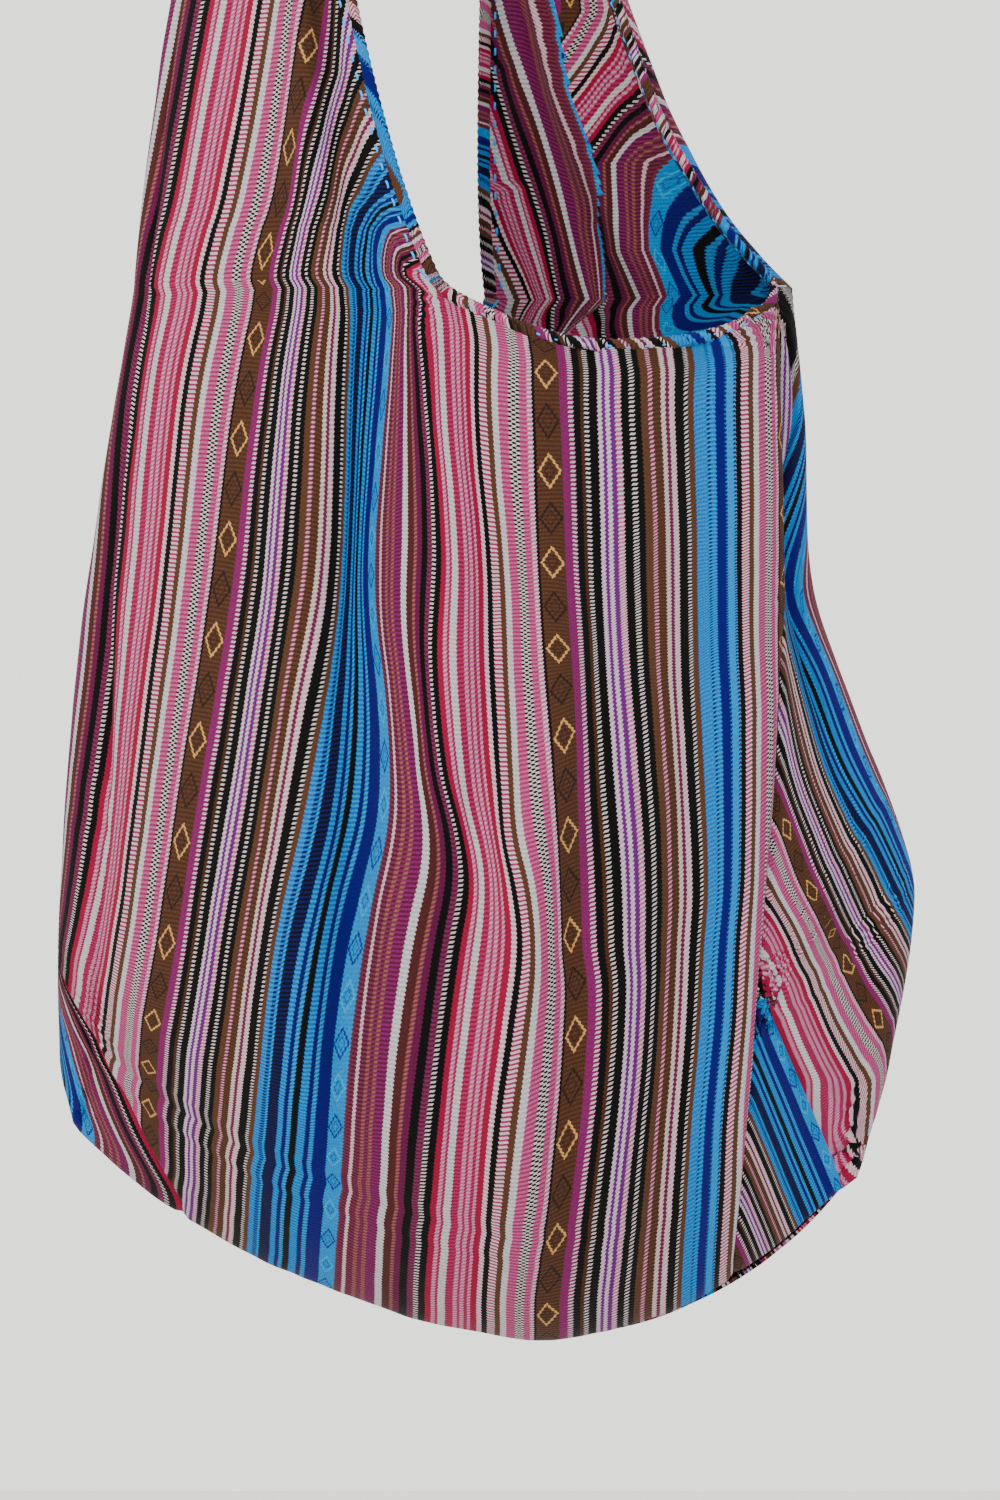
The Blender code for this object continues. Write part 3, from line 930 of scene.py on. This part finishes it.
def closed_tube(name, rings, threads, slides):
    """A tube through rings of points, its long seam merged and its ends filled."""
    tube, _ = lay_grid(name, rings, threads, slides)
    bpy.ops.object.mode_set(mode="EDIT")
    bpy.ops.mesh.select_all(action="SELECT")
    bpy.ops.mesh.remove_doubles(threshold=0.00001)
    bpy.ops.mesh.fill_holes(sides=0)
    bpy.ops.mesh.select_all(action="SELECT")
    bpy.ops.mesh.normals_make_consistent(inside=False)
    bpy.ops.object.mode_set(mode="OBJECT")
    bpy.ops.object.shade_smooth_by_angle(angle=math.radians(60))
    return tube


def hem_and_stitches(name, places):
    """The rolled hem along an edge and its running stitch."""
    steps = evenly(places)
    hem_rings, hem_threads, hem_slides = [], [], []
    thread_rings, thread_numbers = [], []
    for place, (edge, inner, out, number, twist) in enumerate(steps):
        distance = place * HEM_STEP
        forward = (steps[min(place + 1, len(steps) - 1)][0] - steps[max(place - 1, 0)][0]).normalized()
        inward = inner - edge
        inward = (inward - forward * inward.dot(forward)).normalized()
        out = (out - forward * out.dot(forward)).normalized()
        centre = edge + inward * HEM_SET
        swing = max(-1.0, min(1.0, 1.5 * math.sin(2.0 * math.pi * distance / STITCH_PITCH)))
        sewn = inner + out * STITCH_SWING * swing
        hem_rings.append([])
        thread_rings.append([])
        for step in range(HEM_RING + 1):
            turn = 2.0 * math.pi * (step % HEM_RING) / HEM_RING
            swell = 1.0 + ROPE_SWELL * math.sin(2.0 * math.pi * distance / ROPE_PITCH + turn)
            reach = inward * math.cos(turn) * HEM_ACROSS / 2 + out * math.sin(turn) * HEM_THICK / 2
            hem_rings[-1].append(centre + reach * swell)
        for step in range(THREAD_RING + 1):
            turn = 2.0 * math.pi * (step % THREAD_RING) / THREAD_RING
            thread_rings[-1].append(sewn + (inward * math.cos(turn) + out * math.sin(turn)) * STITCH_RADIUS)
        start = number + twist * HEM_TWIST * distance / THREAD
        hem_threads.append([start + HEM_TURN * step / HEM_RING for step in range(HEM_RING + 1)])
        hem_slides.append([step * HEM_GIRTH / HEM_RING for step in range(HEM_RING + 1)])
        thread_numbers.append([step / THREAD_RING for step in range(THREAD_RING + 1)])
    return (closed_tube(name + "_hem", hem_rings, hem_threads, hem_slides),
            closed_tube(name + "_stitch", thread_rings, thread_numbers, None))


def rim(rows, threads, count):
    spots = [(POUCH_ROWS, column) for column in range(count)]
    return edge_places(rows, threads, spots, (-1, 0), 0.0)


def arm_edge(rows, threads, column, way):
    spots = [(row, column) for row in range(ARM_ROWS + 1)]
    return edge_places(rows, threads, spots, (0, way), 1.0)


front_rim = rim(front_shape, front_threads, ARM_FRONT_COLUMN * FINE)
back_rim = rim(back_shape, back_threads, BACK_COUNT - ARM_COUNT)
front_edging = hem_and_stitches("front_rim", front_rim + arm_edge(left_shape, left_threads, 0, 1))
front_edging += hem_and_stitches("left_arm", arm_edge(left_shape, left_threads, ARM_COUNT, -1))
back_edging = hem_and_stitches("back_rim", back_rim + arm_edge(right_shape, right_threads, 0, 1))
back_edging += hem_and_stitches("right_arm", arm_edge(right_shape, right_threads, ARM_COUNT, -1))
print("hems and stitches", [len(piece.data.polygons) for piece in front_edging + back_edging])

# %% [markdown]
# The cloth is striped cotton, woven with dozens of narrow warp stripes and two bands of diamonds. Each stripe
# is named by how many warp threads it has. A second colour in a stripe alternates with the first one up the
# cloth, which makes the dotted and checked stripes.

# %% Stripe plan
COLOURS = {
    "black": "08070A", "white": "E9E2E4", "pale": "E6BFCE", "lilac": "DCC0DD", "purple": "9446A2",
    "orchid": "A9438F", "brown": "866650", "umber": "765440", "maroon": "843F56", "beige": "D9C6B9",
    "plum": "8E3670", "mauve": "A3587F", "rose": "C85A92", "pink": "D689B4", "crimson": "BE2A6C",
    "tan": "BD907A", "blue": "0C9ADA", "navy": "1B2A86", "sky": "52C0EC", "ink": "0B1236",
    "indigo": "26159B", "cyan": "04B4EC", "grey": "D3D7DE",
}
# Bands of the plan: (threads, colour) or (threads, colour, second colour)
STRIPES = [
    (7, "orchid"), (4, "white", "orchid"), (6, "black"), (3, "umber"), (4, "white", "black"), (7, "black"),
    (3, "white", "lilac"), (3, "purple"), (3, "white", "lilac"), (4, "purple"), (4, "white", "pink"),
    (6, "black"), (4, "white", "black"), (5, "black"), (6, "brown"), (3, "pale", "mauve"),
    (7, "brown", "umber"), (4, "white", "beige"), (3, "mauve", "plum"), (5, "white", "pale"), (8, "black"),
    (3, "white", "black"), (5, "brown"), (6, "blue", "cyan"), (4, "navy", "blue"), (3, "sky", "blue"),
    (12, "ink", "navy"), (6, "blue", "cyan"), (4, "navy", "indigo"), (4, "sky", "blue"),
    (7, "black", "ink"), (8, "blue", "cyan"), (5, "navy", "indigo"), (5, "sky", "blue"), (15, "indigo"),
    (17, "cyan"), (2, "brown", "mauve"), (6, "mauve", "maroon"), (3, "white", "pale"),
    (7, "mauve", "maroon"), (4, "tan", "mauve"), (5, "plum", "mauve"), (4, "tan", "mauve"),
    (11, "plum", "orchid"), (7, "grey", "white"), (7, "maroon", "umber"), (4, "tan", "mauve"), (6, "plum"),
    (8, "black"), (6, "plum", "mauve"), (5, "white", "black"), (7, "black"), (6, "crimson"),
    (4, "pale", "pink"), (3, "crimson", "rose"), (8, "grey", "white"), (8, "crimson", "rose"),
    (4, "pale", "pink"), (3, "crimson", "rose"), (4, "pale", "pink"), (4, "crimson", "rose"),
    (3, "pale", "pink"), (7, "crimson"), (5, "pale", "white"), (6, "black"), (9, "rose", "white"),
    (6, "brown"), (7, "grey", "white"), (10, "rose", "pink"), (3, "black", "white"), (4, "white", "black"),
    (3, "black", "white"), (7, "rose", "pink"), (4, "white", "pink"), (3, "black"), (22, "brown", "umber"),
    (10, "cyan", "blue"), (3, "navy", "cyan"), (4, "blue", "cyan"), (9, "indigo"), (2, "navy", "blue"),
    (7, "cyan"), (3, "navy", "cyan"),
]
PLAN = sum(stripe[0] for stripe in STRIPES)
# The plan is woven in runs: (thread where a run starts, threads to add to reach its place in the plan)
RUNS = [(0, 295), (143, -143), (581, -581), (688, -250), (726, -372), (810, -810)]
REPEAT = 1105
PICK = 1.75              # mm from one step of the weave to the next, up the cloth
print("threads in the plan", PLAN, "and in the repeat", REPEAT)

# %% [markdown]
# A colour ramp holds at most 32 colours, so the plan is shared between ramps of 28 stripes. Each stripe ends
# in small steps, because the weave turns its threads: the thread number is moved to and fro by a sawtooth up
# the cloth before it is looked up.

# %% Woven cotton
STRIPES_IN_RAMP = 28
DYE_DEPTH = 1.6          # how much deeper the dyes are than their colour in full light
LIGHTNESS = 0.42         # lightness of the dyes, and how much single threads differ in it
FLECK = 0.42
JOG = 2.6                # threads that a stripe's edge steps to and fro
RIB = 2.3                # threads from one rib to the next
# Diamond bands: first thread, threads, mm from one diamond to the next, mm that one is high, its colours
DIAMONDS = [
    (416, 22, 19.4, 15.5, ("D9A45C", "2A1914")),
    (186, 17, 17.9, 14.0, ("16B4F0", "1A1C8C")),
]


MATH = "ShaderNodeMath"


def stripe_ramp(tree, stripes, start, which, position):
    """One ramp over some stripes of the plan, in their first or second colours."""
    span = sum(stripe[0] for stripe in stripes)
    shifted = add_node(tree, MATH, {"operation": "SUBTRACT", 1: float(start)}, {0: position})
    share = add_node(tree, MATH, {"operation": "DIVIDE", 1: float(span)}, {0: shifted.outputs[0]})
    ramp = add_node(tree, "ShaderNodeValToRGB", None, {"Fac": share.outputs[0]})
    ramp.color_ramp.interpolation = "CONSTANT"
    place = 0
    for index, stripe in enumerate(stripes):
        name = stripe[which] if which < len(stripe) else stripe[1]
        element = ramp.color_ramp.elements[0] if index == 0 else ramp.color_ramp.elements.new(place / span)
        element.position = place / span
        element.color = linear(COLOURS[name], DYE_DEPTH)
        if index == 0:
            spare = ramp.color_ramp.elements[1]
            ramp.color_ramp.elements.remove(spare)
        place += stripe[0]
    return ramp.outputs["Color"]


def plan_colour(tree, position, which):
    """Colour of the whole plan at a thread position: the ramps put together."""
    colour, start = None, 0
    for first in range(0, len(STRIPES), STRIPES_IN_RAMP):
        stripes = STRIPES[first:first + STRIPES_IN_RAMP]
        ramp = stripe_ramp(tree, stripes, start, which, position)
        if colour is None:
            colour = ramp
        else:
            past = add_node(tree, MATH, {"operation": "GREATER_THAN", 1: float(start)}, {0: position})
            blend = add_node(tree, "ShaderNodeMix", {"data_type": "RGBA"},
                             {"Factor": past.outputs[0], 6: colour, 7: ramp})
            colour = blend.outputs[2]
        start += sum(stripe[0] for stripe in stripes)
    return colour


def chain(tree, kind, steps, value):
    """Add nodes one after another. A step is its operation and a number, another node's output or None."""
    for operation, other in steps:
        node = add_node(tree, kind, {"operation": operation}, {0: value})
        if isinstance(other, (int, float)):
            node.inputs[1].default_value = other
        elif other is not None:
            tree.links.new(other, node.inputs[1])
        value = node.outputs[0]
    return value


def woven_cotton():
    """Soft two-ply cotton: matt, a little fuzzy, ribbed along the warp and stepped by the weft, with painted
    shade in the weft's grooves.
    """
    material, tree, output = new_material("woven_cotton")
    place = add_node(tree, "ShaderNodeUVMap", {"uv_map": "threads"})
    parts = add_node(tree, "ShaderNodeSeparateXYZ", None, {"Vector": place.outputs["UV"]})
    thread, up = parts.outputs["X"], parts.outputs["Y"]
    step = chain(tree, MATH, [("DIVIDE", PICK), ("FRACT", None)], up)
    jog = chain(tree, MATH, [("SUBTRACT", 0.5), ("ABSOLUTE", None), ("MULTIPLY", JOG), ("SUBTRACT", JOG / 4)],
                step)
    position = chain(tree, MATH, [("ADD", jog), ("FLOORED_MODULO", REPEAT)], thread)
    plan = chain(tree, MATH, [("ADD", RUNS[0][1])], position)
    for (begin, shift), (_, last) in zip(RUNS[1:], RUNS):
        past = chain(tree, MATH, [("GREATER_THAN", begin), ("MULTIPLY", shift - last)], position)
        plan = chain(tree, MATH, [("ADD", past)], plan)
    second = chain(tree, MATH, [("GREATER_THAN", 0.5)], step)
    both = add_node(tree, "ShaderNodeMix", {"data_type": "RGBA"},
                    {"Factor": second, 6: plan_colour(tree, plan, 1), 7: plan_colour(tree, plan, 2)})
    colour = both.outputs[2]

    for first, threads, pitch, high, hexes in DIAMONDS:
        half = threads / 2
        across = chain(tree, MATH, [("SUBTRACT", first + half), ("ABSOLUTE", None), ("DIVIDE", half)], plan)
        inside = chain(tree, MATH, [("LESS_THAN", 1.0)], across)
        place_up = chain(tree, MATH, [("DIVIDE", pitch)], up)
        along_it = chain(tree, MATH, [("FRACT", None), ("SUBTRACT", 0.5), ("ABSOLUTE", None),
                                     ("MULTIPLY", 2.0 * pitch / high)], place_up)
        away = chain(tree, MATH, [("ADD", across)], along_it)
        outline = chain(tree, MATH, [("SUBTRACT", 0.84), ("ABSOLUTE", None), ("LESS_THAN", 0.10)], away)
        centre = chain(tree, MATH, [("SUBTRACT", 0.40), ("ABSOLUTE", None), ("LESS_THAN", 0.07)], away)
        odd = chain(tree, MATH, [("FLOOR", None), ("FLOORED_MODULO", 2.0)], place_up)
        light_one = chain(tree, MATH, [("MULTIPLY", inside), ("MULTIPLY", odd)], outline)
        even = chain(tree, MATH, [("SUBTRACT", 1.0), ("ABSOLUTE", None)], odd)
        dark_one = chain(tree, MATH, [("MULTIPLY", inside), ("MULTIPLY", even)], outline)
        dark_centre = chain(tree, MATH, [("MULTIPLY", inside), ("MULTIPLY", 0.6)], centre)
        for share, colour_hex in ((dark_centre, hexes[1]), (light_one, hexes[0]), (dark_one, hexes[1])):
            cover = add_node(tree, "ShaderNodeMix", {"data_type": "RGBA", 7: linear(colour_hex)},
                             {"Factor": share, 6: colour})
            colour = cover.outputs[2]

    stretched = add_node(tree, "ShaderNodeCombineXYZ", None, {"X": thread, "Y": up})
    flecks = add_node(tree, "ShaderNodeTexNoise", {"Scale": 0.7, "Detail": 3.0},
                      {"Vector": stretched.outputs[0]})
    light = chain(tree, MATH, [("SUBTRACT", 0.5), ("MULTIPLY", FLECK), ("ADD", LIGHTNESS)],
                  flecks.outputs["Fac"])
    # Painted shade: the dye colour is darker towards both ends of each weft step, where the weave's grooves lie
    painted_groove_shade = chain(tree, MATH, [("SUBTRACT", 0.5), ("ABSOLUTE", None), ("MULTIPLY", -0.30), ("ADD", 1.08)],
                   step)
    shade = chain(tree, MATH, [("MULTIPLY", painted_groove_shade)], light)
    lit = add_node(tree, "ShaderNodeVectorMath", {"operation": "SCALE"}, {0: colour, "Scale": shade})

    rib = chain(tree, MATH, [("DIVIDE", RIB), ("FRACT", None), ("SUBTRACT", 0.5), ("ABSOLUTE", None)], position)
    tooth = chain(tree, MATH, [("SUBTRACT", 0.5), ("ABSOLUTE", None), ("MULTIPLY", -1.4)], step)
    relief = chain(tree, MATH, [("ADD", tooth)], rib)
    relief = chain(tree, MATH, [("ADD", flecks.outputs["Fac"])], relief)
    bumps = add_node(tree, "ShaderNodeBump", {"Strength": 0.55, "Distance": 0.0004}, {"Height": relief})
    shader = add_node(tree, "ShaderNodeBsdfPrincipled",
                      {"Roughness": 0.9, "Specular IOR Level": 0.1, "Sheen Weight": 0.02},
                      {"Base Color": lit.outputs[0], "Normal": bumps.outputs["Normal"]})
    tree.links.new(shader.outputs["BSDF"], output.inputs["Surface"])
    return material


def sewing_thread():
    """Glossy mercerised thread: bright blue, with the fine slanted lines of its twist, darker in their grooves
    as painted shade.
    """
    material, tree, output = new_material("mercerised_thread")
    place = add_node(tree, "ShaderNodeUVMap", {"uv_map": "threads"})
    parts = add_node(tree, "ShaderNodeSeparateXYZ", None, {"Vector": place.outputs["UV"]})
    slanted = chain(tree, MATH, [("MULTIPLY", 1.1), ("ADD", parts.outputs["X"]), ("MULTIPLY", 2.0),
                                ("FRACT", None)], parts.outputs["Y"])
    ridge = chain(tree, MATH, [("SUBTRACT", 0.5), ("ABSOLUTE", None)], slanted)
    # Painted shade: the blue is darker in the grooves between the twist's ridges
    ramp = add_node(tree, "ShaderNodeValToRGB", None, {"Fac": ridge})
    ramp.color_ramp.elements[0].color = linear("0A8FD6")
    ramp.color_ramp.elements[1].color = linear("0568AE")
    ramp.color_ramp.elements[1].position = 0.5
    bumps = add_node(tree, "ShaderNodeBump", {"Strength": 0.4, "Distance": 0.0001, "invert": True},
                     {"Height": ridge})
    shader = add_node(tree, "ShaderNodeBsdfPrincipled", {"Roughness": 0.45},
                      {"Base Color": ramp.outputs["Color"], "Normal": bumps.outputs["Normal"]})
    tree.links.new(shader.outputs["BSDF"], output.inputs["Surface"])
    return material


cotton = woven_cotton()
thread = sewing_thread()

# %% Give the cloth its wall
for piece in (front_cloth, back_cloth):
    piece.data.materials.append(cotton)
    bpy.ops.object.select_all(action="DESELECT")
    piece.select_set(True)
    bpy.context.view_layer.objects.active = piece
    bpy.ops.object.modifier_add(type="SOLIDIFY")
    wall_maker = piece.modifiers[-1]
    wall_maker.thickness = WALL * MM
    wall_maker.offset = 0.0
    wall_maker.use_even_offset = False
    bpy.ops.object.modifier_apply(modifier=wall_maker.name)
    bpy.ops.object.shade_smooth_by_angle(angle=math.radians(60))

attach(front_cloth, "root")
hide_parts("front_panel", "left_arm")
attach(back_cloth, "root")
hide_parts("back_panel", "right_arm")
for edging, slot in ((front_edging, "front_cloth"), (back_edging, "back_cloth")):
    for piece in edging:
        is_stitch = piece.name.endswith("stitch")
        piece.data.materials.append(thread if is_stitch else cotton)
        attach(piece, "root")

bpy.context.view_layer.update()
